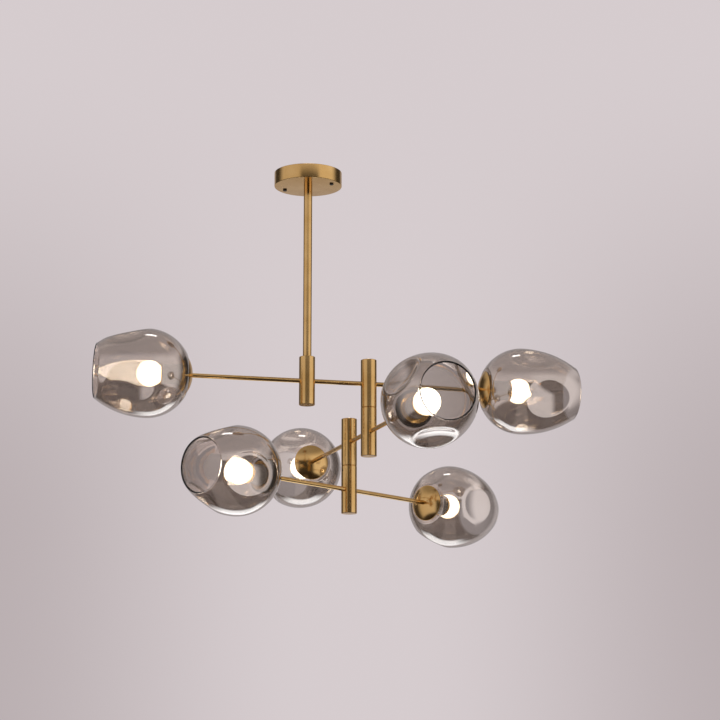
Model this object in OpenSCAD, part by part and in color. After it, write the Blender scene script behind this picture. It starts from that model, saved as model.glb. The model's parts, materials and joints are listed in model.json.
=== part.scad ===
// Branch chandelier: six dimpled glass shades on three brass arms, hung from a round ceiling canopy.
// Millimetres. The origin is the middle of the ceiling plane, with +X to the right, +Y to the back and +Z up.
// Arm 1 turns about the down rod, arm 2 about the upper half of hub 2, and arm 3 about the upper
// half of hub 3.

/* [Ceiling bracket] */
// Length of both bars
bar_length = 104; // [100:1:110]
// Thickness of both bars
bar_thickness = 2; // [1.5:0.5:3]
// Width of the slotted bar against the ceiling
ceiling_bar_width = 22; // [16:1:26]
// Width of the bar that holds the canopy screws
canopy_bar_width = 16; // [12:1:20]
// Distance between the centres of the two ceiling slots
slot_spacing = 70; // [60:1:76]
// End-to-end length of a ceiling slot
slot_length = 20; // [8:1:24]
// Width of a ceiling slot
slot_width = 5; // [4:0.5:6]
// Diameter of the rivet that joins the bars
rivet_d = 8; // [6:0.5:9]
// Diameter of the rivet's head
rivet_head_d = 12; // [10:0.5:14]
// Thickness of the rivet's head
rivet_head = 1.5; // [1:0.5:2]
// Distance from the rivet's axis to the earth screw
earth_screw_offset = 32; // [31:0.5:35]

/* [Canopy] */
// Outer diameter
canopy_d = 120; // [116:1:150]
// Height below the ceiling
canopy_h = 25; // [23:1:35]
// Sheet thickness
canopy_wall = 1.5; // [1:0.25:2]
// Chamfer round the lower edge
canopy_chamfer = 1; // [0.5:0.25:1.5]
// Distance between the two canopy screws
screw_spacing = 92; // [80:1:94]
// Direction of the line through the canopy screws
screw_line = -24; // [-30:1:-20]
// Diameter of a canopy screw, and of the earth screw
screw_d = 4; // [3:0.5:5]
// Diameter of those screws' heads
screw_head_d = 7; // [6:0.5:9]
// Thickness of those screws' heads
screw_head = 2; // [1.5:0.5:3]
// Width of the cross slots in a screw's head
screw_slot = 1; // [0.8:0.1:1.2]

/* [Terminal block] */
// Length, along the canopy bar
terminal_length = 24; // [18:1:26]
// Width, across the canopy bar
terminal_width = 12; // [10:1:16]
// Height
terminal_height = 11; // [9:1:13]
// Distance from the rivet's axis to the block
terminal_offset = 12; // [11:1:14]
// Diameter of a wire entry
wire_entry_d = 3; // [2:0.5:4]

/* [Down rod] */
// Length that shows between the canopy and hub 1
down_rod_length = 310; // [250:5:600]
// Outer diameter
down_rod_d = 15; // [13:0.5:20]
// Tube wall
down_rod_wall = 1.5; // [1:0.25:2]
// Outer diameter of every hollow thread, on the rod's ends and the swivel bolts
thread_d = 10; // [9:0.5:11]
// Wire bore through every hollow thread
thread_bore = 7; // [5:0.5:7.5]
// Width across the flats of a nut
nut_flats = 16; // [15:0.5:17]
// Thickness of a nut
nut_height = 5; // [3:0.5:7]

/* [Hubs] */
// Outer diameter
hub_d = 28; // [26:0.5:34]
// Diameter of the wiring space inside
hub_cavity_d = 21; // [20:0.5:22]
// Length of one hub section
section_length = 85.7; // [70:0.1:110]
// Depth of the solid end that the swivel thread passes through
neck_depth = 14; // [10:1:18]
// Depth of the disc that closes the other end
plug_depth = 5; // [3:0.5:8]
// Distance between the axes of neighbouring hubs
hub_pitch = 111; // [90:1:150]
// Gap between parts that turn on each other
swivel_gap = 0.3; // [0.2:0.1:0.5]
// Diameter of a swivel bolt's head
bolt_head_d = 17; // [14:0.5:18]
// Thickness of a swivel bolt's head
bolt_head = 3; // [2:0.5:5]
// Diameter of a locking screw
lock_screw_d = 4; // [3:0.5:5]
// Distance from the swivel joint down to a locking screw
lock_screw_drop = 8.5; // [5:0.5:9]
// Width across the flats of a locking screw's key socket
key_flats = 2; // [1.5:0.5:2]
// Direction that the locking screw of hub 1 faces
lock_screw_1_yaw = 90; // [0:1:359]
// Direction that the locking screw of hub 2 faces
lock_screw_2_yaw = 60; // [0:1:359]
// Direction that the locking screw of hub 3 faces
lock_screw_3_yaw = 211; // [0:1:359]

/* [Arms] */
// Direction of arm 1, from hub 1 to hub 2
arm_1_yaw = 13.8; // [0:0.1:40]
// Direction of arm 2, from hub 2 to hub 3
arm_2_yaw = 108.3; // [90:0.1:130]
// Direction of arm 3, towards its right shade
arm_3_yaw = 49; // [35:0.1:60]
// Outer rods of arm 1, from the hub's axis to the cup
arm_1_rod = 202; // [190:1:260]
// Outer rods of arm 2, from the hub's axis to the cup
arm_2_rod = 222; // [190:1:260]
// Outer rods of arm 3, from the hub's axis to the cup
arm_3_rod = 209; // [190:1:260]
// Outer diameter of the rods
rod_d = 8; // [7:0.5:10]
// Wire bore through the rods
rod_bore = 5; // [3:0.5:5.5]
// Depth that a rod reaches past the wall into the hub
rod_inset = 1.5; // [0.5:0.5:3]

/* [Lamp heads] */
// Diameter of the cup at its rim
cup_d = 66; // [60:1:72]
// Depth of the cup, from where the rod enters to its rim
cup_depth = 11; // [9:1:14]
// Sheet thickness of the cup
cup_wall = 1.5; // [1:0.25:2]
// Diameter of the flat boss inside the cup, and of the lamp holder's foot on it
boss_d = 18; // [14:1:20]
// Depth of the cup's bottom with the boss
boss_depth = 3; // [2.5:0.5:4]
// Depth that a rod screws into the lamp head
rod_engagement = 12; // [8:1:13]
// Thickness of the rubber ring between cup and glass
gasket_thickness = 1; // [0.5:0.5:2]
// Length of the lamp holder's foot, between the boss and the skirt
foot_length = 3.5; // [2:0.5:5]
// Diameter of a wire hole in the lamp holder's floor
wire_hole_d = 2.4; // [2:0.1:3]
// Diameter of the lamp holder's threaded skirt
skirt_d = 39; // [36:0.5:42]
// Length of the lamp holder's threaded skirt
skirt_length = 20; // [16:1:24]
// Diameter of the lamp holder's barrel
barrel_d = 34; // [32:0.5:36]
// Diameter of the lip at the lamp holder's mouth
lip_d = 38; // [35:0.5:40]
// Length of the lip
lip_length = 4; // [2:0.5:6]
// Width of the lip's end face
lip_face = 3.5; // [2:0.5:5]
// Distance from the cup's rod end to the lamp holder's mouth
holder_mouth = 57; // [54:1:60]
// Thickness of the ring that clamps the glass
ring_thickness = 6; // [4:0.5:8]
// Outer diameter of the ring that clamps the glass
ring_d = 54; // [46:1:60]

/* [Glass shades] */
// Largest diameter
shade_d = 154; // [140:1:170]
// Glass thickness
shade_wall = 2.5; // [2:0.25:4]
// Distance from the widest circle back to the ground seat at the neck
neck_setback = 67; // [60:1:68]
// Diameter of the hole for the lamp holder
neck_hole_d = 41; // [40:0.5:44]
// Diameter of the open mouth
mouth_d = 95; // [80:1:110]
// Distance from the widest circle to the mouth, left shade of arm 1
mouth_1_left = 88; // [80:1:100]
// Distance from the widest circle to the mouth, right shade of arm 1
mouth_1_right = 97; // [80:1:100]
// Distance from the widest circle to the mouth, shades of arm 2
mouth_2 = 91; // [80:1:100]
// Distance from the widest circle to the mouth, left shade of arm 3
mouth_3_left = 84; // [80:1:100]
// Distance from the widest circle to the mouth, right shade of arm 3
mouth_3_right = 91; // [80:1:100]
// Number of hollows pressed into a shade
dimple_count = 3; // [2:1:4]
// Diameter of a hollow's rim
dimple_d = 64; // [50:1:72]
// Depth of a hollow below its rim
dimple_depth = 5; // [2:0.5:7]
// Turn of the first hollow from straight down, left shade of arm 1
turn_1_left = 62; // [-180:1:180]
// Turn of the first hollow from straight down, right shade of arm 1
turn_1_right = -70; // [-180:1:180]
// Turn of the first hollow from straight down, front shade of arm 2
turn_2_front = 0; // [-180:1:180]
// Turn of the first hollow from straight down, back shade of arm 2
turn_2_back = 60; // [-180:1:180]
// Turn of the first hollow from straight down, left shade of arm 3
turn_3_left = 75; // [-180:1:180]
// Turn of the first hollow from straight down, right shade of arm 3
turn_3_right = -88; // [-180:1:180]
// Angle by which the hollows face the mouth rather than straight out, left shade of arm 1
lean_1_left = 19; // [-10:1:25]
// Angle by which the hollows face the mouth, right shade of arm 1
lean_1_right = 16; // [-10:1:25]
// Angle by which the hollows face the mouth, shades of arm 2
lean_2 = 19; // [-10:1:25]
// Angle by which the hollows face the mouth, left shade of arm 3
lean_3_left = 21; // [-10:1:25]
// Angle by which the hollows face the mouth, right shade of arm 3
lean_3_right = -5; // [-10:1:25]

/* [Bulbs] */
// Diameter of the glass ball
bulb_d = 45; // [40:1:48]
// Distance from the cup's rod end to the ball's centre
bulb_centre = 74; // [70:1:80]
// Length of the glass neck between the ball and the screw cap
bulb_neck = 8; // [4:0.5:9]
// Diameter of the screw cap
cap_d = 26; // [25:0.5:26.5]
// Length of the screw cap
cap_length = 26; // [22:1:28]
// Diameter of the contact at the cap's end
contact_d = 9; // [6:0.5:12]
// Length of the contact
contact_length = 2; // [1:0.5:3]

/* [Hidden] */
$fn = 96;

// Radial clearance of a thread, a press fit and a running fit
fit_gap = 0.05;
// Radial clearance of a canopy screw in the canopy, and of the bulb's cap in the lamp holder
screw_gap = 0.25;
cap_gap = 0.5;
// Radial clearance of the rubber ring round the hole in the glass
gasket_gap = 1;
// Length of thread that stands past a nut
thread_past_nut = 1;
// Depth by which a locking screw is sunk, and by which the earth screw stops short of the ceiling
screw_sunk = 0.5;
// Overlap that makes a cut pass clean through a face
cut = 1;

brass = [0.71, 0.53, 0.25];
satin_steel = [0.66, 0.66, 0.66];
dark_steel = [0.20, 0.19, 0.18];
smoke_glass = [0.52, 0.48, 0.46, 0.55];
white_ceramic = [0.92, 0.90, 0.86];
white_plastic = [0.88, 0.88, 0.86];
warm_white = [1.0, 0.95, 0.84];
black_rubber = [0.10, 0.10, 0.10];

// Heights of the arms, and places of the hubs in plan
section_pitch = section_length + swivel_gap;
shoulder_z = -(canopy_h + down_rod_length);
arm_1_z = shoulder_z - swivel_gap - section_length / 2;
arm_2_z = arm_1_z - section_pitch;
arm_3_z = arm_2_z - section_pitch;
function direction(yaw) = [cos(yaw), sin(yaw), 0];
hub_1_at = [0, 0, 0];
hub_2_at = hub_pitch * direction(arm_1_yaw);
hub_3_at = hub_2_at + hub_pitch * direction(arm_2_yaw);
rod_start = hub_cavity_d / 2 - rod_inset;

// The six arm ends: name, place of the rod's start on the hub's axis, direction, rod length, distance
// from the widest circle to the mouth, turn of the first hollow about the rod, and lean of the hollows
END_NAME = 0;
END_AT = 1;
END_YAW = 2;
END_ROD = 3;
END_MOUTH = 4;
END_TURN = 5;
END_LEAN = 6;
ends_1 = [
  ["arm_1_left", hub_1_at + [0, 0, arm_1_z], arm_1_yaw + 180, arm_1_rod,
    mouth_1_left, turn_1_left, lean_1_left],
  ["arm_1_right", hub_2_at + [0, 0, arm_1_z], arm_1_yaw, arm_1_rod,
    mouth_1_right, turn_1_right, lean_1_right]
];
ends_2 = [
  ["arm_2_front", hub_2_at + [0, 0, arm_2_z], arm_2_yaw + 180, arm_2_rod, mouth_2, turn_2_front, lean_2],
  ["arm_2_back", hub_3_at + [0, 0, arm_2_z], arm_2_yaw, arm_2_rod, mouth_2, turn_2_back, lean_2]
];
ends_3 = [
  ["arm_3_left", hub_3_at + [0, 0, arm_3_z], arm_3_yaw + 180, arm_3_rod,
    mouth_3_left, turn_3_left, lean_3_left],
  ["arm_3_right", hub_3_at + [0, 0, arm_3_z], arm_3_yaw, arm_3_rod,
    mouth_3_right, turn_3_right, lean_3_right]
];

// Lamp head sizes that follow from the ones above, as distances from the cup's rod end
cup_sphere_r = (cup_d * cup_d / 4 + cup_depth * cup_depth) / (2 * cup_depth);
neck_at = cup_depth + gasket_thickness;
shade_centre = neck_at + neck_setback;
cap_end = bulb_centre - sqrt(bulb_d * bulb_d - cap_d * cap_d) / 2 - bulb_neck;
cap_start = cap_end - cap_length;
socket_floor = cap_start - contact_length;
shade_r = shade_d / 2;

// ---- Ceiling bracket and canopy ----

module slot(length, width, depth) {
  for (side = [-1, 1])
    translate([side * (length - width) / 2, 0, 0]) cylinder(h = depth, d = width);
  translate([-(length - width) / 2, -width / 2, 0]) cube([length - width, width, depth]);
}

module bar(width) {
  translate([-bar_length / 2, -width / 2, 0]) cube([bar_length, width, bar_thickness]);
}

module rivet_hole() {
  translate([0, 0, -cut]) cylinder(h = bar_thickness + 2 * cut, d = rivet_d + 2 * fit_gap);
}

module ceiling_bar() {
  color(satin_steel) translate([0, 0, -bar_thickness]) difference() {
    bar(ceiling_bar_width);
    rivet_hole();
    for (side = [-1, 1])
      translate([side * slot_spacing / 2, 0, -cut]) slot(slot_length, slot_width, bar_thickness + 2 * cut);
  }
}

module at_canopy_screws() {
  for (side = [-1, 1])
    rotate([0, 0, screw_line]) translate([side * screw_spacing / 2, 0, 0]) children();
}

module at_earth_screw() {
  rotate([0, 0, screw_line]) translate([earth_screw_offset, 0, 0]) children();
}

module screw_hole() {
  translate([0, 0, -cut]) cylinder(h = bar_thickness + 2 * cut, d = screw_d + 2 * fit_gap);
}

module canopy_bar() {
  color(satin_steel) translate([0, 0, -2 * bar_thickness]) difference() {
    rotate([0, 0, screw_line]) bar(canopy_bar_width);
    rivet_hole();
    at_canopy_screws() screw_hole();
    at_earth_screw() screw_hole();
  }
}

module bar_rivet() {
  color(satin_steel) {
    translate([0, 0, -2 * bar_thickness]) cylinder(h = 2 * bar_thickness, d = rivet_d);
    translate([0, 0, -2 * bar_thickness - rivet_head]) cylinder(h = rivet_head, d = rivet_head_d);
  }
}

// Cross-slotted screw that stands up from its head, with its head's upper face at z = 0
module slotted_screw(length) {
  difference() {
    union() {
      cylinder(h = length, d = screw_d);
      translate([0, 0, -screw_head]) cylinder(h = screw_head, d = screw_head_d);
    }
    for (turn = [0, 90]) rotate([0, 0, turn])
      translate([-screw_head_d / 3, -screw_slot / 2, -screw_head - cut])
      cube([screw_head_d * 2 / 3, screw_slot, cut + screw_head / 2]);
  }
}

module earth_screw() {
  color(brass) at_earth_screw() translate([0, 0, -2 * bar_thickness])
    slotted_screw(2 * bar_thickness - screw_sunk);
}

module terminal_block() {
  entry_pitch = terminal_length / 3;
  color(white_plastic) rotate([0, 0, screw_line + 180])
    translate([terminal_offset, -terminal_width / 2, -2 * bar_thickness - terminal_height])
    difference() {
      cube([terminal_length, terminal_width, terminal_height]);
      for (i = [0:2]) translate([(i + 0.5) * entry_pitch, 0, 0]) {
        translate([0, -cut, terminal_height / 2]) rotate([-90, 0, 0])
          cylinder(h = terminal_width + 2 * cut, d = wire_entry_d);
        for (row = [0.25, 0.75])
          translate([0, row * terminal_width, -cut])
            cylinder(h = terminal_height / 2 + cut, d = wire_entry_d);
      }
    }
}

module canopy_profile(inset) {
  r = canopy_d / 2 - inset;
  polygon([
    [0, -canopy_h + inset], [r - canopy_chamfer, -canopy_h + inset],
    [r, -canopy_h + inset + canopy_chamfer], [r, 0], [0, 0]
  ]);
}

module canopy() {
  color(brass) difference() {
    rotate_extrude() canopy_profile(0);
    rotate_extrude() canopy_profile(canopy_wall);
    translate([0, 0, -canopy_h - cut]) cylinder(h = canopy_wall + 2 * cut, d = thread_d + 2 * fit_gap);
    at_canopy_screws()
      translate([0, 0, -canopy_h - cut]) cylinder(h = canopy_wall + 2 * cut, d = screw_d + 2 * screw_gap);
  }
}

module canopy_screws() {
  color(dark_steel) at_canopy_screws() translate([0, 0, -canopy_h])
    slotted_screw(canopy_h - bar_thickness);
}

// ---- Down rod and its nuts ----

// Lower end of the rod's thread, inside hub 1
thread_end_z = arm_1_z + section_length / 2 - neck_depth - swivel_gap - nut_height - thread_past_nut;
// Upper end of the rod's thread, inside the canopy
thread_top_z = -canopy_h + canopy_wall + nut_height + thread_past_nut;

module down_rod() {
  color(brass) difference() {
    union() {
      translate([0, 0, shoulder_z]) cylinder(h = down_rod_length, d = down_rod_d);
      translate([0, 0, thread_end_z]) cylinder(h = thread_top_z - thread_end_z, d = thread_d);
    }
    translate([0, 0, shoulder_z + nut_height])
      cylinder(h = down_rod_length - 2 * nut_height, d = down_rod_d - 2 * down_rod_wall);
    translate([0, 0, thread_end_z - cut])
      cylinder(h = thread_top_z - thread_end_z + 2 * cut, d = thread_bore);
  }
}

module nut() {
  difference() {
    cylinder(h = nut_height, d = nut_flats / cos(30), $fn = 6);
    translate([0, 0, -cut]) cylinder(h = nut_height + 2 * cut, d = thread_d + 2 * fit_gap);
  }
}

module down_rod_nuts() {
  color(satin_steel) {
    translate([0, 0, -canopy_h + canopy_wall]) nut();
    translate([0, 0, thread_end_z + thread_past_nut]) nut();
  }
}

// ---- Hubs ----

// A section stands at its middle height, with its rods along yaw. Its neck, the solid end, is up or down.
module hub_section(yaw, neck_up) {
  half = section_length / 2;
  rotate([neck_up ? 0 : 180, 0, neck_up ? yaw : yaw + 180]) difference() {
    cylinder(h = section_length, d = hub_d, center = true);
    translate([0, 0, -half - cut]) cylinder(h = section_length - neck_depth + cut, d = hub_cavity_d);
    translate([0, 0, half - neck_depth - cut]) cylinder(h = neck_depth + 2 * cut, d = thread_d + 2 * fit_gap);
    rotate([0, 90, 0]) cylinder(h = hub_d + 2 * cut, d = rod_d + 2 * fit_gap, center = true);
  }
}

// A section that turns on the thread above it has a locking screw through its neck
module turning_section(at, z, yaw, screw_yaw) {
  difference() {
    translate(at + [0, 0, z]) hub_section(yaw, true);
    at_lock_screw(at, z, screw_yaw) cylinder(h = hub_d / 2, d = lock_screw_d + 2 * fit_gap);
  }
}

module at_lock_screw(at, z, screw_yaw) {
  translate(at + [0, 0, z + section_length / 2 - lock_screw_drop]) rotate([0, 90, screw_yaw]) children();
}

module locking_screw(at, z, screw_yaw) {
  start = thread_d / 2 + swivel_gap;
  length = hub_d / 2 - screw_sunk - start;
  color(dark_steel) at_lock_screw(at, z, screw_yaw) translate([0, 0, start]) difference() {
    cylinder(h = length, d = lock_screw_d);
    translate([0, 0, length / 2]) cylinder(h = length, d = key_flats / cos(30), $fn = 6);
  }
}

module hub_1() {
  color(brass) turning_section(hub_1_at, arm_1_z, arm_1_yaw, lock_screw_1_yaw);
}

module hub_2_upper() {
  color(brass) translate(hub_2_at + [0, 0, arm_1_z]) hub_section(arm_1_yaw, false);
}

module hub_2_lower() {
  color(brass) turning_section(hub_2_at, arm_2_z, arm_2_yaw, lock_screw_2_yaw);
}

module hub_3_upper() {
  color(brass) translate(hub_3_at + [0, 0, arm_2_z]) hub_section(arm_2_yaw, false);
}

module hub_3_lower() {
  color(brass) turning_section(hub_3_at, arm_3_z, arm_3_yaw, lock_screw_3_yaw);
}

// Hollow bolt, fast in the neck above the joint, on which the section below turns
module swivel_bolt(at, z_upper) {
  top = z_upper - section_length / 2 + neck_depth;
  shank = 2 * neck_depth + 2 * swivel_gap;
  color(satin_steel) translate(at + [0, 0, top - shank]) difference() {
    union() {
      cylinder(h = shank, d = thread_d);
      translate([0, 0, -bolt_head]) cylinder(h = bolt_head, d = bolt_head_d);
    }
    translate([0, 0, -bolt_head - cut]) cylinder(h = shank + bolt_head + 2 * cut, d = thread_bore);
  }
}

// Disc that closes the open end of a section, below it or above it
module hub_plug(at, z, below) {
  end_z = below ? z - section_length / 2 : z + section_length / 2 - plug_depth;
  color(brass) translate(at + [0, 0, end_z]) cylinder(h = plug_depth, d = hub_cavity_d - 2 * fit_gap);
}

module arm_1_hub_plugs() {
  hub_plug(hub_1_at, arm_1_z, true);
  hub_plug(hub_2_at, arm_1_z, false);
}

module arm_2_hub_plugs() {
  hub_plug(hub_2_at, arm_2_z, true);
  hub_plug(hub_3_at, arm_2_z, false);
}

module arm_3_hub_plug() {
  hub_plug(hub_3_at, arm_3_z, true);
}

// ---- Rods ----

// Tube along +X from one distance to another
module rod_tube(from, to) {
  translate([from, 0, 0]) rotate([0, 90, 0]) difference() {
    cylinder(h = to - from, d = rod_d);
    translate([0, 0, -cut]) cylinder(h = to - from + 2 * cut, d = rod_bore);
  }
}

module link_rod(at, z, yaw) {
  color(brass) translate(at + [0, 0, z]) rotate([0, 0, yaw]) rod_tube(rod_start, hub_pitch - rod_start);
}

module outer_rod(end) {
  color(brass) translate(end[END_AT]) rotate([0, 0, end[END_YAW]])
    rod_tube(rod_start, end[END_ROD] + rod_engagement);
}

// ---- Lamp heads: local +Z runs out along the arm, from where the rod enters the cup ----

module at_head(end) {
  translate(end[END_AT]) rotate([0, 0, end[END_YAW]]) translate([end[END_ROD], 0, 0])
    rotate([0, 90, 0]) children();
}

module rod_entry(depth) {
  translate([0, 0, -cut]) cylinder(h = depth + cut, d = rod_d + 2 * fit_gap);
}

module cup_dome(inset, depth) {
  intersection() {
    translate([0, 0, cup_sphere_r]) sphere(r = cup_sphere_r - inset);
    cylinder(h = depth, d = cup_d);
  }
}

module cup(end) {
  color(brass) at_head(end) difference() {
    cup_dome(0, cup_depth);
    difference() {
      cup_dome(cup_wall, cup_depth + cut);
      cylinder(h = boss_depth, d = boss_d);
    }
    rod_entry(boss_depth + cut);
  }
}

module gasket(end) {
  color(black_rubber) at_head(end) translate([0, 0, cup_depth]) difference() {
    cylinder(h = gasket_thickness, d = cup_d);
    translate([0, 0, -cut]) cylinder(h = gasket_thickness + 2 * cut, d = neck_hole_d + 2 * gasket_gap);
  }
}

// Ceramic lamp holder: foot on the cup's boss, threaded skirt through the glass, barrel and lip
module holder(end) {
  skirt_at = boss_depth + foot_length;
  color(white_ceramic) at_head(end) difference() {
    union() {
      translate([0, 0, boss_depth]) cylinder(h = foot_length, d = boss_d);
      translate([0, 0, skirt_at]) cylinder(h = skirt_length, d = skirt_d);
      translate([0, 0, skirt_at]) cylinder(h = holder_mouth - skirt_at, d = barrel_d);
      translate([0, 0, holder_mouth - lip_length]) cylinder(h = lip_length, d = lip_d);
    }
    rod_entry(rod_engagement);
    for (side = [-1, 1]) translate([side * rod_d / 4, 0, rod_engagement - cut])
      cylinder(h = socket_floor - rod_engagement + 2 * cut, d = wire_hole_d);
    translate([0, 0, socket_floor]) cylinder(h = holder_mouth, d = cap_d + 2 * cap_gap);
    translate([0, 0, holder_mouth - 2 * lip_length]) cylinder(h = holder_mouth, d = lip_d - 2 * lip_face);
  }
}

// The neck runs on into the ball, as far as a chord of the ball at two thirds of its radius
module bulb(end) {
  color(warm_white) at_head(end) {
    translate([0, 0, bulb_centre]) sphere(d = bulb_d);
    translate([0, 0, cap_start]) cylinder(h = bulb_centre - bulb_d / 3 - cap_start, d = cap_d);
    translate([0, 0, socket_floor]) cylinder(h = contact_length, d = contact_d);
  }
}

module shade_ring(end) {
  color(brass) at_head(end) translate([0, 0, neck_at + shade_wall]) difference() {
    cylinder(h = ring_thickness, d = ring_d);
    translate([0, 0, -cut]) cylinder(h = ring_thickness + 2 * cut, d = skirt_d + 2 * fit_gap);
  }
}

// Half outline of a shade, inset by the wall for its inner face. A circle at the back meets a
// flatter arc at the widest circle, and the arc runs on to the mouth.
module shade_half(mouth_at, inset) {
  drop = shade_r - mouth_d / 2;
  arc_r = (mouth_at * mouth_at + drop * drop) / (2 * drop);
  intersection() {
    circle(r = shade_r - inset);
    translate([0, -neck_setback + inset]) square([shade_r, neck_setback - inset]);
  }
  intersection() {
    translate([shade_r - arc_r, 0]) circle(r = arc_r - inset);
    square([shade_r, mouth_at]);
  }
}

// Hollows round the shade: balls that bite in from outside, grown by the wall for the inner face.
// They lie evenly to both sides of the plane where the shade's outline starts.
module dimple_balls(lean, grow) {
  rim_at = sqrt(shade_r * shade_r - dimple_d * dimple_d / 4);
  ball_r = (dimple_d * dimple_d / 4 + dimple_depth * dimple_depth) / (2 * dimple_depth);
  for (i = [0:dimple_count - 1])
    rotate([0, 90 - lean, (i - 0.5) * 360 / dimple_count])
    translate([0, 0, rim_at + ball_r - dimple_depth]) sphere(r = ball_r + grow);
}

module shade(end) {
  first_turn = end[END_TURN] + 180 / dimple_count;
  color(smoke_glass) at_head(end) translate([0, 0, shade_centre]) rotate([0, 0, first_turn]) difference() {
    rotate_extrude() shade_half(end[END_MOUTH], 0);
    dimple_balls(end[END_LEAN], 0);
    difference() {
      rotate_extrude() shade_half(end[END_MOUTH], shade_wall);
      dimple_balls(end[END_LEAN], shade_wall);
    }
    translate([0, 0, -neck_setback - cut]) cylinder(h = shade_wall + 2 * cut, d = neck_hole_d);
  }
}

module gaskets(ends) {
  for (end = ends) gasket(end);
}

module shade_rings(ends) {
  for (end = ends) shade_ring(end);
}

ceiling_bar();
canopy_bar();
bar_rivet();
earth_screw();
terminal_block();
canopy();
canopy_screws();
down_rod();
down_rod_nuts();
hub_1();
hub_2_upper();
hub_2_lower();
hub_3_upper();
hub_3_lower();
swivel_bolt(hub_2_at, arm_1_z);  // hub_2_swivel_bolt
swivel_bolt(hub_3_at, arm_2_z);  // hub_3_swivel_bolt
link_rod(hub_1_at, arm_1_z, arm_1_yaw);  // link_rod_1
link_rod(hub_2_at, arm_2_z, arm_2_yaw);  // link_rod_2
arm_1_hub_plugs();
arm_2_hub_plugs();
arm_3_hub_plug();
locking_screw(hub_1_at, arm_1_z, lock_screw_1_yaw);  // hub_1_locking_screw
locking_screw(hub_2_at, arm_2_z, lock_screw_2_yaw);  // hub_2_locking_screw
locking_screw(hub_3_at, arm_3_z, lock_screw_3_yaw);  // hub_3_locking_screw
gaskets(ends_1);  // arm_1_gaskets
gaskets(ends_2);  // arm_2_gaskets
gaskets(ends_3);  // arm_3_gaskets
shade_rings(ends_1);  // arm_1_shade_rings
shade_rings(ends_2);  // arm_2_shade_rings
shade_rings(ends_3);  // arm_3_shade_rings
for (end = concat(ends_1, ends_2, ends_3)) {
  outer_rod(end);
  cup(end);
  holder(end);
  shade(end);
  bulb(end);
}
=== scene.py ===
"""Branch chandelier: the finish and the detailed meshes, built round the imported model.

Lengths are in metres, in the model's own frame: the origin is in the ceiling plane, +X is to the right,
+Y to the back and +Z up. Pieces turned on a lathe are built standing along their own +Z, then put in place.
"""

import json
import math

import bpy
import numpy as np
from mathutils import Matrix, Vector


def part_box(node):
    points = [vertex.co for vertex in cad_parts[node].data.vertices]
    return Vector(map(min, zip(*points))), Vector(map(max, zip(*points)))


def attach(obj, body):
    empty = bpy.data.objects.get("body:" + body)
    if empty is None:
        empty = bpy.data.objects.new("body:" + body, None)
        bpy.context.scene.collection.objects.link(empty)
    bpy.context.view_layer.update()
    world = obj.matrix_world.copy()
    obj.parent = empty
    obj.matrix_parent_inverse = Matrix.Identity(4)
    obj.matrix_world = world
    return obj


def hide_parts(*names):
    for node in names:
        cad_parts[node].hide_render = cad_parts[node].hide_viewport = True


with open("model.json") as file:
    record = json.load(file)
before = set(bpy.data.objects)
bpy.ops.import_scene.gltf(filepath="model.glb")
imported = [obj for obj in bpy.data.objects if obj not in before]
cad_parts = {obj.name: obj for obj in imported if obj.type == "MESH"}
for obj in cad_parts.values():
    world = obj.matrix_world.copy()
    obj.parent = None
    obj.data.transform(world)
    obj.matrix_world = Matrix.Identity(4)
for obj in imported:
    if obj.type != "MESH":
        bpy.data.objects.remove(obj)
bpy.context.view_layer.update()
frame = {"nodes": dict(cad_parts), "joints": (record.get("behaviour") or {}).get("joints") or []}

MM = 0.001

# ---- Driving dimensions, which repeat the model's own ----

CANOPY_R, CANOPY_H, CANOPY_WALL = 60 * MM, 25 * MM, 1.5 * MM
DOWN_ROD_R = 7.5 * MM
HUB_R, HUB_CAVITY_R = 14 * MM, 10.5 * MM
HUB_EDGE = 0.7 * MM
LOCK_HOLE_R = 2.05 * MM
ROD_R = 4 * MM
CUP_R, CUP_DEPTH, CUP_WALL = 33 * MM, 11 * MM, 1.5 * MM
GASKET = 1 * MM
BOSS_R, BOSS_DEPTH, SKIRT_AT = 9 * MM, 3 * MM, 6.5 * MM
SKIRT_R, SKIRT_LENGTH = 19.5 * MM, 20 * MM
BARREL_R, LIP_R, LIP_LENGTH, HOLDER_MOUTH = 17 * MM, 19 * MM, 4 * MM, 57 * MM
SOCKET_R, SOCKET_FLOOR = 13.5 * MM, 19.6 * MM
RING_R, RING_THICKNESS = 27 * MM, 6 * MM
SHADE_R, SHADE_WALL, NECK_SETBACK, NECK_HOLE_R = 77 * MM, 2.5 * MM, 67 * MM, 20.5 * MM
MOUTH_R = 47.5 * MM
DIMPLE_R, DIMPLE_DEPTH, DIMPLES = 32 * MM, 5 * MM, 3
BULB_R, BULB_CENTRE = 22.5 * MM, 74 * MM
CAP_R, CAP_START, CAP_LENGTH, CONTACT_R = 13 * MM, 21.6 * MM, 26 * MM, 4.5 * MM

NECK_AT = CUP_DEPTH + GASKET
SHADE_CENTRE = NECK_AT + NECK_SETBACK

# Each arm end: body, hub that its rod leaves, arm, side of the hub (1 is the arm's own direction), rod
# length, distance from the shade's widest circle to its mouth, turn of the first hollow from straight down,
# and lean of the hollows towards the mouth, in degrees
ENDS = {
    "arm_1_left": ("arm_1", 0, 0, -1, 202 * MM, 88 * MM, 62, 19),
    "arm_1_right": ("arm_1", 1, 0, 1, 202 * MM, 97 * MM, -70, 16),
    "arm_2_front": ("arm_2", 1, 1, -1, 222 * MM, 91 * MM, 0, 19),
    "arm_2_back": ("arm_2", 2, 1, 1, 222 * MM, 91 * MM, 60, 19),
    "arm_3_left": ("arm_3", 2, 2, -1, 209 * MM, 84 * MM, 75, 21),
    "arm_3_right": ("arm_3", 2, 2, 1, 209 * MM, 91 * MM, -88, -5),
}
ARM_3_YAW = math.radians(49)

# ---- Places, from the frame ----


def middle(node):
    low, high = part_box(node)
    return (low + high) / 2


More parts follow.
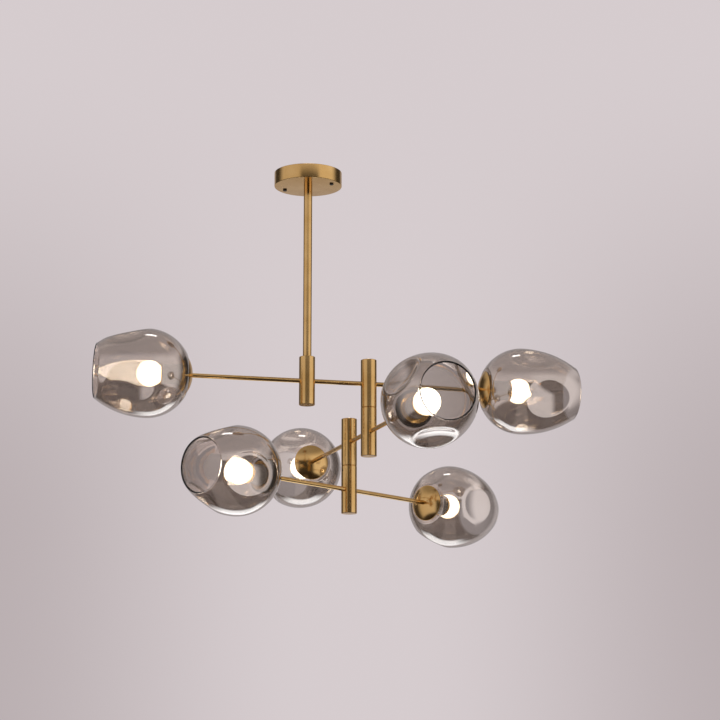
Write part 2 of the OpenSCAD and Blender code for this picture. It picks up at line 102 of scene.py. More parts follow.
def yaw_of(vector):
    return math.atan2(vector.y, vector.x)


HUBS = [Vector(joint["pos_m"]) for joint in frame["joints"]]
ARM_Z = [middle("link_rod_1").z, middle("link_rod_2").z, middle("hub_3_lower").z]
ARM_YAW = [yaw_of(HUBS[1] - HUBS[0]), yaw_of(HUBS[2] - HUBS[1]), ARM_3_YAW]


def head_place(end):
    """Where a lamp head stands: its origin is where the rod enters the cup, +Z out along the arm, +X down."""
    _, hub, arm, side, rod, _, _, _ = ENDS[end]
    out = Vector((math.cos(ARM_YAW[arm]), math.sin(ARM_YAW[arm]), 0)) * side
    down = Vector((0, 0, -1))
    left = out.cross(down)
    origin = Vector((HUBS[hub].x, HUBS[hub].y, ARM_Z[arm])) + out * rod
    place = Matrix.Identity(4)
    for column, vector in enumerate((down, left, out, origin)):
        place.col[column][:3] = vector
    return place


def standing(x, y, z):
    return Matrix.Translation((x, y, z))


# ---- Camera, at the photograph's place and angle ----

FOCAL_PX, FRAME_PX, SENSOR_MM = 2045.2, 720, 36.0
CAMERA_AT = Vector((92.5, -3497.9, -1093.05)) * MM
CAMERA_PITCH = math.radians(12.14)


def make_camera():
    data = bpy.data.cameras.new("camera")
    data.sensor_width = SENSOR_MM
    data.lens = FOCAL_PX / FRAME_PX * SENSOR_MM
    data.clip_end = 100
    camera = bpy.data.objects.new("camera", data)
    bpy.context.scene.collection.objects.link(camera)
    camera.location = CAMERA_AT
    camera.rotation_euler = (math.pi / 2 + CAMERA_PITCH, 0, 0)
    bpy.context.scene.camera = camera


# ---- Materials ----


class Nodes:
    """A material's node tree, with a short way to add and join nodes."""

    def __init__(self, name):
        self.material = bpy.data.materials.new(name)
        self.material.use_nodes = True
        self.tree = self.material.node_tree
        self.shader = self.tree.nodes["Principled BSDF"]

    def add(self, kind, inputs=None, **settings):
        node = self.tree.nodes.new(kind)
        for key, value in settings.items():
            setattr(node, key, value)
        for key, value in (inputs or {}).items():
            if isinstance(value, bpy.types.NodeSocket):
                self.tree.links.new(value, node.inputs[key])
            else:
                node.inputs[key].default_value = value
        return node

    def set(self, **values):
        for key, value in values.items():
            socket = self.shader.inputs[key.replace("_", " ")]
            if isinstance(value, bpy.types.NodeSocket):
                self.tree.links.new(value, socket)
            else:
                socket.default_value = value

    def place(self, scale=(1, 1, 1)):
        """The piece's own coordinates, stretched by scale."""
        coords = self.add("ShaderNodeTexCoord")
        inputs = {"Vector": coords.outputs["Object"], "Scale": scale}
        return self.add("ShaderNodeMapping", inputs).outputs["Vector"]

    def noise(self, scale, detail=3, stretch=(1, 1, 1)):
        inputs = {"Vector": self.place(stretch), "Scale": scale, "Detail": detail}
        return self.add("ShaderNodeTexNoise", inputs).outputs["Fac"]

    def ramp(self, value, low, high, start=0.3, end=0.7):
        """A colour between low and high, as value goes from start to end."""
        node = self.add("ShaderNodeValToRGB", {"Fac": value})
        node.color_ramp.elements[0].position = start
        node.color_ramp.elements[1].position = end
        node.color_ramp.elements[0].color = (*low, 1)
        node.color_ramp.elements[1].color = (*high, 1)
        return node.outputs["Color"]

    def between(self, value, low, high, start=0.3, end=0.7):
        inputs = {"Value": value, "From Min": start, "From Max": end, "To Min": low, "To Max": high}
        return self.add("ShaderNodeMapRange", inputs).outputs["Result"]

    def bump(self, height, strength, distance):
        inputs = {"Height": height, "Strength": strength, "Distance": distance}
        return self.add("ShaderNodeBump", inputs).outputs["Normal"]


def brass_material(name, along):
    """Satin brass with a fine brushed grain. The grain runs round the piece, or along it."""
    nodes = Nodes(name)
    grain_stretch = (1, 1, 0.02) if along else (0.05, 0.05, 1)
    grain = nodes.noise(2600, detail=2, stretch=grain_stretch)
    cloud = nodes.noise(28, detail=4)
    nodes.set(
        Base_Color=nodes.ramp(cloud, (0.74, 0.47, 0.17), (0.86, 0.58, 0.245)),
        Metallic=1.0,
        Roughness=nodes.between(grain, 0.15, 0.20),
        Normal=nodes.bump(grain, 0.02, 0.00003),
    )
    return nodes.material


def steel_material(name, tone):
    nodes = Nodes(name)
    cloud = nodes.noise(60, detail=4)
    low = tuple(channel * 0.8 for channel in tone)
    nodes.set(
        Base_Color=nodes.ramp(cloud, low, tone),
        Metallic=1.0,
        Roughness=nodes.between(cloud, 0.28, 0.42),
    )
    return nodes.material


def glass_material(name, film, low, high):
    """Smoked glass. Its film, a thin layer of metal, makes a face part mirror by this share."""
    nodes = Nodes(name)
    cloud = nodes.noise(9, detail=2)
    nodes.set(
        Base_Color=nodes.ramp(cloud, low, high),
        Metallic=film,
        Roughness=0.0,
        IOR=1.48,
        Transmission_Weight=1.0,
        Normal=nodes.bump(cloud, 0.25, 0.0012),
    )
    return nodes.material


def glow_material(name):
    """Opal glass of a lit bulb, whiter in its middle than at its edge."""
    nodes = Nodes(name)
    facing = nodes.add("ShaderNodeLayerWeight", {"Blend": 0.35}).outputs["Facing"]
    nodes.set(
        Base_Color=(0.95, 0.93, 0.88, 1),
        Roughness=0.25,
        Emission_Color=nodes.ramp(facing, (1.0, 0.96, 0.86), (1.0, 0.80, 0.40), 0.35, 0.98),
        Emission_Strength=4.2,
    )
    return nodes.material


def ceramic_material(name):
    nodes = Nodes(name)
    cloud = nodes.noise(45, detail=3)
    nodes.set(
        Base_Color=nodes.ramp(cloud, (0.80, 0.79, 0.76), (0.87, 0.86, 0.84)),
        Roughness=nodes.between(cloud, 0.14, 0.22),
        Coat_Weight=0.4,
        Coat_Roughness=0.08,
    )
    return nodes.material


def plastic_material(name, low, high, roughness):
    nodes = Nodes(name)
    grain = nodes.noise(900, detail=3)
    nodes.set(
        Base_Color=nodes.ramp(grain, low, high),
        Roughness=nodes.between(grain, roughness - 0.06, roughness + 0.06),
        Normal=nodes.bump(grain, 0.1, 0.0002),
    )
    return nodes.material


BRASS_ROUND = brass_material("brass_turned", along=False)
BRASS_LONG = brass_material("brass_drawn", along=True)
STEEL = steel_material("zinc_plated_steel", (0.62, 0.62, 0.63))
NICKEL = steel_material("nickel", (0.72, 0.69, 0.62))
DARK_STEEL = steel_material("blackened_steel", (0.07, 0.06, 0.055))
SMOKE_LOW, SMOKE_HIGH = (0.80, 0.74, 0.69), (0.86, 0.81, 0.77)
FILM_GLASS = glass_material("smoked_glass_film", 0.52, SMOKE_LOW, SMOKE_HIGH)
CLEAR_GLASS = glass_material("smoked_glass", 0.0, SMOKE_LOW, SMOKE_HIGH)
# The lip's glass is painted paler than the shade's own glass, to take out the dark shade that the round lip
# shows
PAINTED_PALE_LIP_GLASS = glass_material("smoked_glass_lip_painted_pale", 0.0, (0.95, 0.94, 0.93), (0.97, 0.96, 0.95))
OPAL = glow_material("lit_opal")
CERAMIC = ceramic_material("glazed_ceramic")
BLACK_RUBBER = plastic_material("black_rubber", (0.012, 0.012, 0.012), (0.03, 0.03, 0.03), 0.6)
WHITE_PLASTIC = plastic_material("white_plastic", (0.72, 0.72, 0.70), (0.78, 0.78, 0.76), 0.45)

# ---- Meshes ----

# Faces round a turned piece, and the bend in degrees over which an edge stays sharp
TURNS, CANOPY_TURNS, HOLDER_TURNS, BULB_TURNS, RING_TURNS, DRILL_TURNS = 96, 160, 72, 64, 192, 32
METAL_SHARP, RING_SHARP, SHADE_SHARP = 35, 40, 50


def new_piece(name, vertices, faces, material, place, body, stands_for=()):
    """A smooth-shaded mesh piece in its place, riding on its body, for the nodes that it stands for."""
    mesh = bpy.data.meshes.new(name)
    mesh.from_pydata([tuple(v) for v in vertices], [], [tuple(f) for f in faces])
    mesh.validate()
    mesh.materials.append(material)
    mesh.shade_smooth()
    piece = bpy.data.objects.new(name, mesh)
    bpy.context.scene.collection.objects.link(piece)
    piece.matrix_world = place
    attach(piece, body)
    if stands_for:
        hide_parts(*stands_for)
    return piece


def arc(centre, radius, start, end, steps):
    """Points of an arc in (radius, height), with angles in degrees from the radius direction."""
    angles = [math.radians(start + (end - start) * i / steps) for i in range(steps + 1)]
    return [(centre[0] + radius * math.cos(a), centre[1] + radius * math.sin(a)) for a in angles]


def lathe_rows(profile, turns, ripple=None):
    """Rows of points of a profile turned about Z. ripple(angle, height) is added to each radius."""
    rows = []
    for radius, height in profile:
        row = []
        for i in range(turns):
            angle = 2 * math.pi * i / turns
            r = radius + (ripple(angle, height) if ripple and radius > 0 else 0)
            row.append((r * math.cos(angle), r * math.sin(angle), height))
        rows.append(row)
    return rows


def skin(rows, closed_loop=False):
    """Vertices and faces of a tube through the rows. A row at the axis becomes one point."""
    vertices, index = [], []
    for row in rows:
        pole = all(math.hypot(x, y) < 1e-9 for x, y, _ in row)
        first = len(vertices)
        vertices.extend(row[:1] if pole else row)
        index.append([first] * len(row) if pole else list(range(first, first + len(row))))
    faces = []
    pairs = list(zip(index, index[1:]))
    if closed_loop:
        pairs.append((index[-1], index[0]))
    for low, high in pairs:
        for i in range(len(low)):
            j = (i + 1) % len(low)
            face = [low[i], low[j], high[j], high[i]]
            faces.append([v for k, v in enumerate(face) if v != face[k - 1]])
    return vertices, faces


def lathe(name, profile, material, place, body, stands_for=(), turns=TURNS, ripple=None, ring=False):
    """A turned piece. Its profile runs up the outside from the bottom, and back down the inside of a ring."""
    vertices, faces = skin(lathe_rows(profile, turns, ripple), closed_loop=ring)
    piece = new_piece(name, vertices, faces, material, place, body, stands_for)
    mark_sharp(piece, METAL_SHARP)
    return piece


def mark_sharp(piece, degrees):
    """Edges that bend by more than this stay sharp."""
    piece.data.set_sharp_from_angle(angle=math.radians(degrees))


def chamfered_tube(r_out, r_in, low, high, edge):
    """Profile of a ring or tube with chamfered outer edges."""
    return [
        (r_out - edge, low), (r_out, low + edge), (r_out, high - edge), (r_out - edge, high),
        (r_in, high), (r_in, low),
    ]


# ---- Ceiling canopy and hubs ----

LOCKING_SCREWS = {
    "hub_1": "hub_1_locking_screw",
    "hub_2_lower": "hub_2_locking_screw",
    "hub_3_lower": "hub_3_locking_screw",
}

EDGE_ROUND, RIM_EDGE = 1.2 * MM, 0.4 * MM
CANOPY_HOLE_R = DOWN_ROD_R - 2.4 * MM


def make_canopy():
    r, h, wall = CANOPY_R, CANOPY_H, CANOPY_WALL
    profile = [(CANOPY_HOLE_R, -h)]
    profile += arc((r - EDGE_ROUND, -h + EDGE_ROUND), EDGE_ROUND, -90, 0, 6)
    profile += [(r, -RIM_EDGE), (r - RIM_EDGE, 0)]
    profile += [(r - wall, 0), (r - wall, -h + wall), (CANOPY_HOLE_R, -h + wall)]
    place, body = standing(0, 0, 0), "ceiling_mount"
    lathe("canopy_shell", profile, BRASS_ROUND, place, body, ("canopy",), CANOPY_TURNS, ring=True)


def make_hub(node, body):
    """One hub section, with its edges broken and the hole of its locking screw."""
    low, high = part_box(node)
    centre = middle(node)
    length = high.z - low.z
    profile = chamfered_tube(HUB_R, HUB_CAVITY_R, 0, length, HUB_EDGE)
    place = standing(centre.x, centre.y, low.z)
    piece = lathe(node + "_body", profile, BRASS_LONG, place, body, (node,), ring=True)
    if node in LOCKING_SCREWS:
        screw = middle(LOCKING_SCREWS[node])
        drill(piece, Vector((centre.x, centre.y, screw.z)), screw, LOCK_HOLE_R)


def drill(piece, start, through, radius):
    """Cuts a round hole that runs from start out through the given point."""
    way = (through - start).normalized()
    turn = way.to_track_quat("Z", "Y").to_matrix().to_4x4()
    profile = [(0, 0), (radius, 0), (radius, 2 * HUB_R), (0, 2 * HUB_R)]
    vertices, faces = skin(lathe_rows(profile, DRILL_TURNS))
    mesh = bpy.data.meshes.new("drill")
    mesh.from_pydata(vertices, [], faces)
    mesh.materials.append(piece.data.materials[0])
    bit = bpy.data.objects.new("drill", mesh)
    bpy.context.scene.collection.objects.link(bit)
    bit.matrix_world = Matrix.Translation(start) @ turn
    cut = piece.modifiers.new("hole", "BOOLEAN")
    cut.operation = "DIFFERENCE"
    cut.solver = "EXACT"
    cut.object = bit
    bpy.context.view_layer.update()
    evaluated = piece.evaluated_get(bpy.context.evaluated_depsgraph_get())
    drilled = bpy.data.meshes.new_from_object(evaluated)
    piece.modifiers.clear()
    bpy.data.objects.remove(bit)
    piece.data = drilled
    mark_sharp(piece, METAL_SHARP)


# ---- Lamp heads ----

# How far short of the cup's rim its two faces end, in degrees
CUP_OUTER_GAP, CUP_INNER_GAP = 0.8, 4


def make_cup(end, body, place):
    """A shallow dome, round where the rod enters it."""
    sphere_r = (CUP_R**2 + CUP_DEPTH**2) / (2 * CUP_DEPTH)
    rod_at, rim_at = [-90 + math.degrees(math.asin(r / sphere_r)) for r in (ROD_R, CUP_R)]
    outer = arc((0, sphere_r), sphere_r, rod_at, rim_at - CUP_OUTER_GAP, 20)
    inner = arc((0, sphere_r), sphere_r - CUP_WALL, rim_at - CUP_INNER_GAP, rod_at, 14)
    rim = [(CUP_R, CUP_DEPTH - 0.5 * MM), (CUP_R - 0.2 * MM, CUP_DEPTH), (CUP_R - CUP_WALL, CUP_DEPTH)]
    profile = outer + rim + inner
    lathe(end + "_cup_shell", profile, BRASS_ROUND, place, body, (end + "_cup",), ring=True)


# Pitch and depth of the screw threads, and steps along them
SKIRT_THREAD, SKIRT_STEPS = (3.2 * MM, 0.5 * MM), 36
CAP_THREAD, CAP_STEPS = (3.6 * MM, 0.7 * MM), 40


def thread(low, start, end, high, pitch, depth):
    """Ripple of a helical thread from start to end, on a face that is lower by its depth from low to high."""
    def ripple(angle, height):
        if not low < height < high:
            return 0
        if not start < height < end:
            return -depth
        return depth * (math.cos(2 * math.pi * height / pitch - angle) - 1) / 2
    return ripple


def steps_up(radius, low, high, steps):
    return [(radius, low + (high - low) * i / steps) for i in range(steps + 1)]


def make_holder(end, body, place):
    """Ceramic lamp holder with a threaded skirt, a barrel and a brass lip round its mouth."""
    skirt_end = SKIRT_AT + SKIRT_LENGTH
    lip_at = HOLDER_MOUTH - LIP_LENGTH
    outside = [(BOSS_R, BOSS_DEPTH), (BOSS_R, SKIRT_AT), (SKIRT_R - 1 * MM, SKIRT_AT)]
    outside += steps_up(SKIRT_R, SKIRT_AT + 1 * MM, skirt_end - 1 * MM, SKIRT_STEPS)
    outside += [(SKIRT_R - 1 * MM, skirt_end), (BARREL_R + 0.4 * MM, skirt_end + 0.3 * MM)]
    outside += [(BARREL_R, skirt_end + 1 * MM), (BARREL_R, lip_at - 2 * MM), (BARREL_R + 1 * MM, lip_at)]
    inside = [(SOCKET_R + 1.5 * MM, lip_at), (SOCKET_R + 1 * MM, lip_at - 4 * MM)]
    inside += [(SOCKET_R, lip_at - 5 * MM), (SOCKET_R, SOCKET_FLOOR), (0, SOCKET_FLOOR)]
    ripple = thread(SKIRT_AT + 1 * MM, SKIRT_AT + 1.5 * MM, skirt_end - 1.5 * MM, skirt_end, *SKIRT_THREAD)
    name, stands_for = end + "_holder_body", (end + "_holder",)
    lathe(name, outside + inside, CERAMIC, place, body, stands_for, HOLDER_TURNS, ripple)
    lip = [
        (LIP_R - 0.6 * MM, lip_at), (LIP_R, lip_at + 0.6 * MM),
        (LIP_R, HOLDER_MOUTH - 0.8 * MM), (LIP_R - 0.8 * MM, HOLDER_MOUTH),
        (SOCKET_R + 2.5 * MM, HOLDER_MOUTH), (SOCKET_R + 1.5 * MM, HOLDER_MOUTH - 1 * MM),
        (SOCKET_R + 1.5 * MM, lip_at),
    ]
    lathe(end + "_holder_lip", lip, BRASS_ROUND, place, body, ring=True)


def make_bulb(end, body, place):
    """Round opal bulb with a threaded metal cap."""
    cap_end = CAP_START + CAP_LENGTH
    neck_r = CAP_R - 0.6 * MM
    join = math.degrees(math.asin(neck_r / BULB_R))
    glass = [(neck_r, cap_end), (neck_r - 0.2 * MM, cap_end + 2 * MM)]
    glass += arc((0, BULB_CENTRE), BULB_R, -90 + join + 3, 90, 28)
    glass[-1] = (0, BULB_CENTRE + BULB_R)
    lathe(end + "_bulb_glass", glass, OPAL, place, body, (end + "_bulb",), BULB_TURNS)
    cap = [(0, CAP_START - 2 * MM), (CONTACT_R, CAP_START - 2 * MM), (CONTACT_R, CAP_START)]
    cap += [(CAP_R - 2 * MM, CAP_START + 0.5 * MM)]
    cap += steps_up(CAP_R, CAP_START + 2 * MM, cap_end - 2 * MM, CAP_STEPS)
    cap += [(CAP_R - 0.4 * MM, cap_end), (0, cap_end)]
    ripple = thread(CAP_START + 1 * MM, CAP_START + 2 * MM, cap_end - 3 * MM, cap_end - 1 * MM, *CAP_THREAD)
    lathe(end + "_bulb_cap", cap, NICKEL, place, body, turns=BULB_TURNS, ripple=ripple)


NOTCHES, NOTCH_DEPTH, SHADE_RING_EDGE = 16, 1.2 * MM, 0.8 * MM


def make_shade_ring(end, body, place):
    """Threaded ring that clamps the glass, with finger notches round its edge."""
    low = NECK_AT + SHADE_WALL
    profile = chamfered_tube(RING_R, SKIRT_R, low, low + RING_THICKNESS, SHADE_RING_EDGE)

    def ripple(angle, height):
        return -NOTCH_DEPTH * max(0.0, math.cos(angle * NOTCHES)) ** 4

    rows = lathe_rows(profile[:4], RING_TURNS, ripple) + lathe_rows(profile[4:], RING_TURNS)
    vertices, faces = skin(rows, closed_loop=True)
    piece = new_piece(end + "_shade_ring", vertices, faces, BRASS_ROUND, place, body)
    mark_sharp(piece, RING_SHARP)
    return piece


def make_gasket(end, body, place):
    profile = chamfered_tube(CUP_R, NECK_HOLE_R + 1 * MM, CUP_DEPTH, NECK_AT, 0.3 * MM)
    return lathe(end + "_gasket_ring", profile, BLACK_RUBBER, place, body, ring=True)


# ---- Glass shades ----

SHADE_TURNS = 200
SHADE_STEP = 2.4 * MM
RIM_SOFTNESS = 4 * MM
FILM, CLEAR, LIP = 0, 1, 2


def shade_outline(mouth, inset):
    """(radius, distance) along a shade's face, from the neck to the mouth: a circle, then a flatter arc."""
    drop = SHADE_R - MOUTH_R
    arc_r = (mouth**2 + drop**2) / (2 * drop)
    back_r, front_r = SHADE_R - inset, arc_r - inset
    neck_angle = -math.asin((NECK_SETBACK - inset) / back_r)
    mouth_angle = math.asin((mouth - SHADE_WALL / 2) / front_r)
    back_steps = round(-neck_angle * back_r / SHADE_STEP)
    front_steps = round(mouth_angle * front_r / SHADE_STEP)
    points = [(back_r * math.cos(neck_angle * (1 - i / back_steps)),
               back_r * math.sin(neck_angle * (1 - i / back_steps))) for i in range(back_steps)]
    points += [(SHADE_R - arc_r + front_r * math.cos(mouth_angle * i / front_steps),
                front_r * math.sin(mouth_angle * i / front_steps)) for i in range(front_steps + 1)]
    return points


def press_hollows(points, turn, lean, grow):
    """Moves each point that lies in a hollow's ball out to the ball's face, with a soft rim."""
    rim_at = math.sqrt(SHADE_R**2 - DIMPLE_R**2)
    ball_r = (DIMPLE_R**2 + DIMPLE_DEPTH**2) / (2 * DIMPLE_DEPTH)
    level, rise = math.cos(math.radians(lean)), math.sin(math.radians(lean))
    for k in range(DIMPLES):
        angle = math.radians(turn) + 2 * math.pi * k / DIMPLES
        way = np.array([math.cos(angle) * level, math.sin(angle) * level, rise])
        offset = points - way * (rim_at + ball_r - DIMPLE_DEPTH)
        along = offset @ way
        beside = np.sum(offset**2, axis=1) - along**2
        chord = np.sqrt(np.maximum((ball_r + grow) ** 2 - beside, 0))
        depth = np.where(beside < (ball_r + grow) ** 2, along + chord, -1.0)
        share = np.clip(0.5 + 0.5 * depth / RIM_SOFTNESS, 0, 1)
        press = depth * share + RIM_SOFTNESS * share * (1 - share)
        points = points - way * np.where(share > 0, press, 0)[:, None]
    return points


def shade_face_rows(mouth, turn, lean, inset):
    rows = np.array(lathe_rows(shade_outline(mouth, inset), SHADE_TURNS))
    pressed = press_hollows(rows.reshape(-1, 3), turn, lean, inset)
    return [list(map(tuple, row)) for row in pressed.reshape(rows.shape)]


def rounded_lip(outer_row, inner_row, steps=5):
    """Rows of a half-round lip that joins the outer face's last row to the inner face's."""
    rows = []
    for k in range(1, steps):
        angle = math.pi * k / steps
        row = []
        for a, b in zip(outer_row, inner_row):
            centre, reach = (Vector(a) + Vector(b)) / 2, (Vector(a) - Vector(b)) / 2
            rise = Vector((0, 0, reach.length * math.sin(angle)))
            row.append(tuple(centre + reach * math.cos(angle) + rise))
        rows.append(row)
    return rows


def make_shade(end, body, place, mouth, turn, lean):
    """Globe of smoked glass with its hollows, filmed outside. The lip round its mouth is painted paler, to
    take out the dark shade that its round edge shows.
    """
    outer = shade_face_rows(mouth, turn, lean, 0)
    inner = shade_face_rows(mouth, turn, lean, SHADE_WALL)
    neck_out = [(NECK_HOLE_R, -NECK_SETBACK), (NECK_HOLE_R, -NECK_SETBACK + SHADE_WALL)]
    lip = rounded_lip(outer[-1], inner[-1])
    rows = outer + lip + inner[::-1] + lathe_rows(neck_out[::-1], SHADE_TURNS)
    vertices, faces = skin(rows, closed_loop=True)
    at = place @ Matrix.Translation((0, 0, SHADE_CENTRE))
    name, stands_for = end + "_shade_glass", (end + "_shade",)
    piece = new_piece(name, vertices, faces, FILM_GLASS, at, body, stands_for)
    piece.data.materials.append(CLEAR_GLASS)
    # The third slot is the lip, painted paler to take out its shade
    piece.data.materials.append(PAINTED_PALE_LIP_GLASS)
    film_end = (len(outer) - 1) * SHADE_TURNS
    lip_end = film_end + (len(lip) + 1) * SHADE_TURNS
    slots = [FILM if i < film_end else LIP if i < lip_end else CLEAR for i in range(len(faces))]
    piece.data.polygons.foreach_set("material_index", slots)
    mark_sharp(piece, SHADE_SHARP)


# ---- The floor and the light ----

FLOOR_Z = -3.4
FLOOR_R = 9.0
FLOOR_SIDES = 96
FLOOR_BASE, FLOOR_ROUGHNESS, FLOOR_LIFT = (0.72, 0.68, 0.68), 0.9, 0.55
PALE_MIDDLE = (0.67, 0.605, 0.62)
PALE_SIDES = (0.49, 0.43, 0.44)


def make_floor():
    mesh = bpy.data.meshes.new("floor")
    ring = lathe_rows([(FLOOR_R, 0)], FLOOR_SIDES)[0]
    mesh.from_pydata(ring, [], [list(range(FLOOR_SIDES))])
    nodes = Nodes("pale_floor")
    rays = nodes.add("ShaderNodeLightPath").outputs
    inputs = {0: rays["Is Camera Ray"], 1: rays["Is Transmission Ray"]}
    seen = nodes.add("ShaderNodeMath", inputs, operation="MAXIMUM").outputs[0]
    nodes.set(
        Base_Color=(*FLOOR_BASE, 1),
        Roughness=FLOOR_ROUGHNESS,
        Emission_Color=(*PALE_SIDES, 1),
        Emission_Strength=nodes.between(seen, 0, FLOOR_LIFT, 0, 1),
    )
    mesh.materials.append(nodes.material)
    floor = bpy.data.objects.new("floor", mesh)
    bpy.context.scene.collection.objects.link(floor)
    floor.location = (0, 0, FLOOR_Z)
    floor.visible_glossy = False


def world_math(tree, operation, a, b=None):
    node = tree.nodes.new("ShaderNodeMath")
    node.operation = operation
    for socket, value in zip(node.inputs, (a, b)):
        if isinstance(value, bpy.types.NodeSocket):
            tree.links.new(value, socket)
        elif value is not None:
            socket.default_value = value
    return node.outputs[0]


def world_step(tree, value, start, end):
    """Rises smoothly from 0 to 1 as value goes from start to end."""
    node = tree.nodes.new("ShaderNodeMapRange")
    node.interpolation_type = "SMOOTHSTEP"
    tree.links.new(value, node.inputs["Value"])
    node.inputs["From Min"].default_value = start
    node.inputs["From Max"].default_value = end
    return node.outputs["Result"]


def world_mix(tree, share, a, b):
    node = tree.nodes.new("ShaderNodeMix")
    node.data_type = "RGBA"
    for socket, value in ((node.inputs[0], share), (node.inputs[6], a), (node.inputs[7], b)):
        if isinstance(value, bpy.types.NodeSocket):
            tree.links.new(value, socket)
        else:
            socket.default_value = (*value, 1)
    return node.outputs[2]


LAMP_FADE = (0.5, 0.22)


def away_from(tree, value, middle_value):
    return world_math(tree, "ABSOLUTE", world_math(tree, "ADD", value, -middle_value))


def both(tree, a, b):
    return world_math(tree, "MULTIPLY", a, b)


def fade_edges(lamp):
    """Makes the lamp a soft box, whose light fades out towards its edges."""
    lamp.use_nodes = True
    tree = lamp.node_tree
    split = tree.nodes.new("ShaderNodeSeparateXYZ")
    tree.links.new(tree.nodes.new("ShaderNodeNewGeometry").outputs["Parametric"], split.inputs[0])
    across, along = [away_from(tree, side, 0.5) for side in split.outputs[:2]]
    share = both(tree, world_step(tree, across, *LAMP_FADE), world_step(tree, along, *LAMP_FADE))
    tree.links.new(share, tree.nodes["Emission"].inputs["Strength"])


def area_lamp(name, at, towards, size, power, colour):
    data = bpy.data.lights.new(name, "AREA")
    data.shape = "RECTANGLE"
    data.size, data.size_y = size
    data.energy = power
    data.color = colour
    fade_edges(data)
    lamp = bpy.data.objects.new(name, data)
    bpy.context.scene.collection.objects.link(lamp)
    lamp.location = at
    lamp.rotation_euler = (Vector(towards) - Vector(at)).to_track_quat("-Z", "Y").to_euler()
    lamp.visible_camera = False
    return lamp


STUDIO_PALE = (0.60, 0.55, 0.55)
STUDIO_RIGHT = (0.78, 0.72, 0.71)
STUDIO_BACK = (0.44, 0.40, 0.40)
STUDIO_TOP = (0.30, 0.275, 0.275)
STUDIO_DARK = (0.05, 0.043, 0.038)
FLOOR_DARK = (0.03, 0.022, 0.018)
FLOOR_MIDDLE = (0.13, 0.11, 0.10)
SOFT_FILL = (0.50, 0.485, 0.48)

# Where each stretch of the background and the studio begins and is full, by the direction looked in
WALL_SIDES, WALL_LOW = (0.02, 0.19), (0.36, 0.12)
GAP_MIDDLE, GAP_SIDES, GAP_FRONT, GAP_TOP = 0.10, (0.60, 0.40), (-0.3, -0.6), (0.28, 0.19)
BACK_NEAR, BACK_FAR, BACK_TOP = (-0.05, 0.45), (0.9, 0.7), (0.62, 0.45)
RIGHT_SIDE, BACK_WALL, ROOM_TOP = (0.2, 0.6), (0.6, 0.9), (0.45, 0.75)
FLOOR_STRIP, FLOOR_UNDER, FLOOR_EDGE = (0.26, 0.20), (-0.66, -0.80), (-0.48, -0.60)


def direction_of(tree):
    coords = tree.nodes.new("ShaderNodeTexCoord")
    split = tree.nodes.new("ShaderNodeSeparateXYZ")
    tree.links.new(coords.outputs["Generated"], split.inputs[0])
    return split.outputs


def pale_wall(tree):
    """The background: a pale wall, a little darker to both sides."""
    x, _, z = direction_of(tree)
    sides = world_step(tree, world_math(tree, "ABSOLUTE", x), *WALL_SIDES)
    return world_mix(tree, both(tree, sides, world_step(tree, z, *WALL_LOW)), PALE_MIDDLE, PALE_SIDES)


def studio_room(tree):
    """What the gloss of the metal and glass reflects: a pale room with dark stretches and a dark floor."""
    x, y, z = direction_of(tree)
    side = away_from(tree, x, GAP_MIDDLE)
    front_gap = both(tree, world_step(tree, side, *GAP_SIDES), world_step(tree, y, *GAP_FRONT))
    front_gap = both(tree, front_gap, world_step(tree, z, *GAP_TOP))
    back_sides = both(tree, world_step(tree, y, *BACK_NEAR), world_step(tree, y, *BACK_FAR))
    back_sides = both(tree, back_sides, world_step(tree, z, *BACK_TOP))
    dark = world_math(tree, "MAXIMUM", front_gap, back_sides)
    colour = world_mix(tree, world_step(tree, x, *RIGHT_SIDE), STUDIO_PALE, STUDIO_RIGHT)
    colour = world_mix(tree, world_step(tree, y, *BACK_WALL), colour, STUDIO_BACK)
    colour = world_mix(tree, world_step(tree, z, *ROOM_TOP), colour, STUDIO_TOP)
    colour = world_mix(tree, dark, colour, STUDIO_DARK)
    strip = world_step(tree, world_math(tree, "ABSOLUTE", x), *FLOOR_STRIP)
    floor = world_mix(tree, strip, FLOOR_DARK, FLOOR_MIDDLE)
    floor = world_mix(tree, world_step(tree, z, *FLOOR_UNDER), FLOOR_DARK, floor)
    return world_mix(tree, world_step(tree, z, *FLOOR_EDGE), colour, floor)


def make_world():
    world = bpy.data.worlds.new("studio")
    bpy.context.scene.world = world
    world.use_nodes = True
    tree = world.node_tree
    background = tree.nodes["Background"]
    rays = tree.nodes.new("ShaderNodeLightPath")
    mirrored = world_math(tree, "GREATER_THAN", rays.outputs["Glossy Depth"], 0.5)
    colour = world_mix(tree, mirrored, pale_wall(tree), studio_room(tree))
    colour = world_mix(tree, rays.outputs["Is Diffuse Ray"], colour, SOFT_FILL)
    tree.links.new(colour, background.inputs["Color"])
    background.inputs["Strength"].default_value = 1.0


# Each lamp: where it stands, the point it faces, its size, power and colour
LAMPS = {
    "overhead_lamp": ((0.05, 0.8, 3.0), (0.05, 0, -0.4), (0.9, 0.5), 4.0, (1, 1, 1)),
    "floor_glow": ((0.05, 1.05, -1.35), (0.05, 0, -0.5), (1.5, 0.8), 5.6, (0.93, 0.96, 1.0)),
}


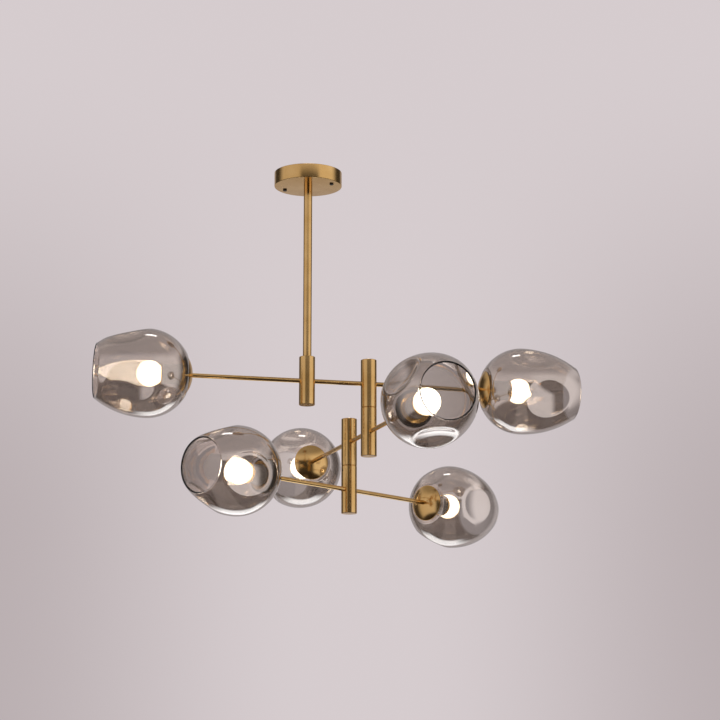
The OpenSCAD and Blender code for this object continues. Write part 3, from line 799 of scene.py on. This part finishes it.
def make_lamps():
    for name, (at, towards, size, power, colour) in LAMPS.items():
        area_lamp(name, at, towards, size, power, colour)


# ---- The object ----

KEPT_NODES = {
    "ceiling_bar": STEEL, "canopy_bar": STEEL, "bar_rivet": STEEL, "earth_screw": BRASS_ROUND,
    "terminal_block": WHITE_PLASTIC, "down_rod_nuts": STEEL, "down_rod": BRASS_LONG,
    "hub_2_swivel_bolt": STEEL, "hub_3_swivel_bolt": STEEL, "canopy_screws": DARK_STEEL,
    "link_rod_1": BRASS_LONG, "link_rod_2": BRASS_LONG,
    "arm_1_hub_plugs": BRASS_ROUND, "arm_2_hub_plugs": BRASS_ROUND, "arm_3_hub_plug": BRASS_ROUND,
    "hub_1_locking_screw": DARK_STEEL, "hub_2_locking_screw": DARK_STEEL, "hub_3_locking_screw": DARK_STEEL,
}


def finish_kept_nodes():
    for node, material in KEPT_NODES.items():
        assign(frame["nodes"][node], material)
    for end in ENDS:
        assign(frame["nodes"][end + "_rod"], BRASS_LONG)


def assign(piece, material):
    piece.data.materials.clear()
    piece.data.materials.append(material)


HUB_SECTIONS = {
    "hub_1": "arm_1",
    "hub_2_upper": "arm_1",
    "hub_2_lower": "arm_2",
    "hub_3_upper": "arm_2",
    "hub_3_lower": "arm_3",
}


def make_object():
    make_canopy()
    for node, body in HUB_SECTIONS.items():
        make_hub(node, body)
    rings, gaskets = {}, {}
    for end, (body, _, _, _, _, mouth, turn, lean) in ENDS.items():
        place = head_place(end)
        make_cup(end, body, place)
        make_holder(end, body, place)
        make_bulb(end, body, place)
        rings.setdefault(body, []).append(make_shade_ring(end, body, place))
        gaskets.setdefault(body, []).append(make_gasket(end, body, place))
        make_shade(end, body, place, mouth, turn, lean)
    for body in rings:
        for piece in rings[body]:
            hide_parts(body + "_shade_rings")
        for piece in gaskets[body]:
            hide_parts(body + "_gaskets")
    finish_kept_nodes()


make_camera()
make_world()
make_lamps()
make_floor()
make_object()

bpy.context.scene.view_settings.view_transform = "Standard"
